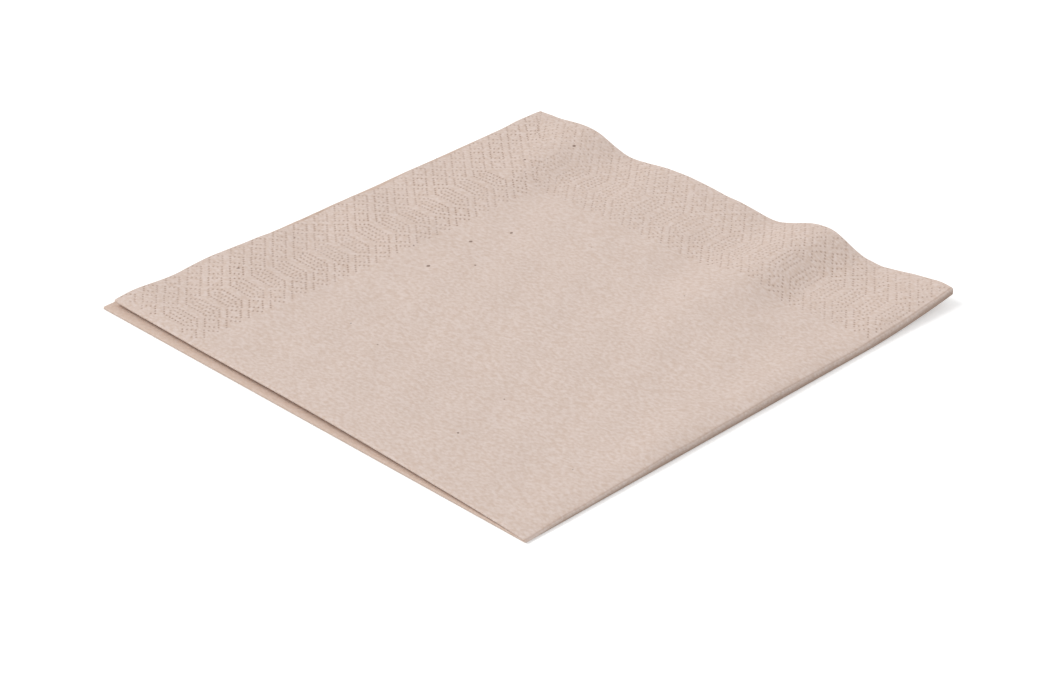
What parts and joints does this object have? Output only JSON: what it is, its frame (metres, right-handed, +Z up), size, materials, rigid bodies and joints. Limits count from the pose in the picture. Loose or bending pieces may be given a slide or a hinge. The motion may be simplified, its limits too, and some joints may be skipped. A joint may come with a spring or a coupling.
{
  "type": "paper napkin",
  "caption": "Quarter-folded square tissue napkin with an embossed dotted border. It lies flat, and its upper leaves ripple along a cut edge.",
  "frame": {"origin": "middle of the box's underside, on the plane that the napkin lies on", "axes": "+Z up through the leaves; X along the second fold, from the closed corner at -X -Y; Y along the first fold, so the cut edges are at +X and +Y"},
  "size_m": [0.1676, 0.1682, 0.0068],
  "materials": {
    "tissue": "matt unbleached two-ply tissue, fine mottled fibre, dotted embossed border along the cut edges"
  },
  "bodies": {
    "root": {"napkin": "tissue"}
  },
  "joints": []
}
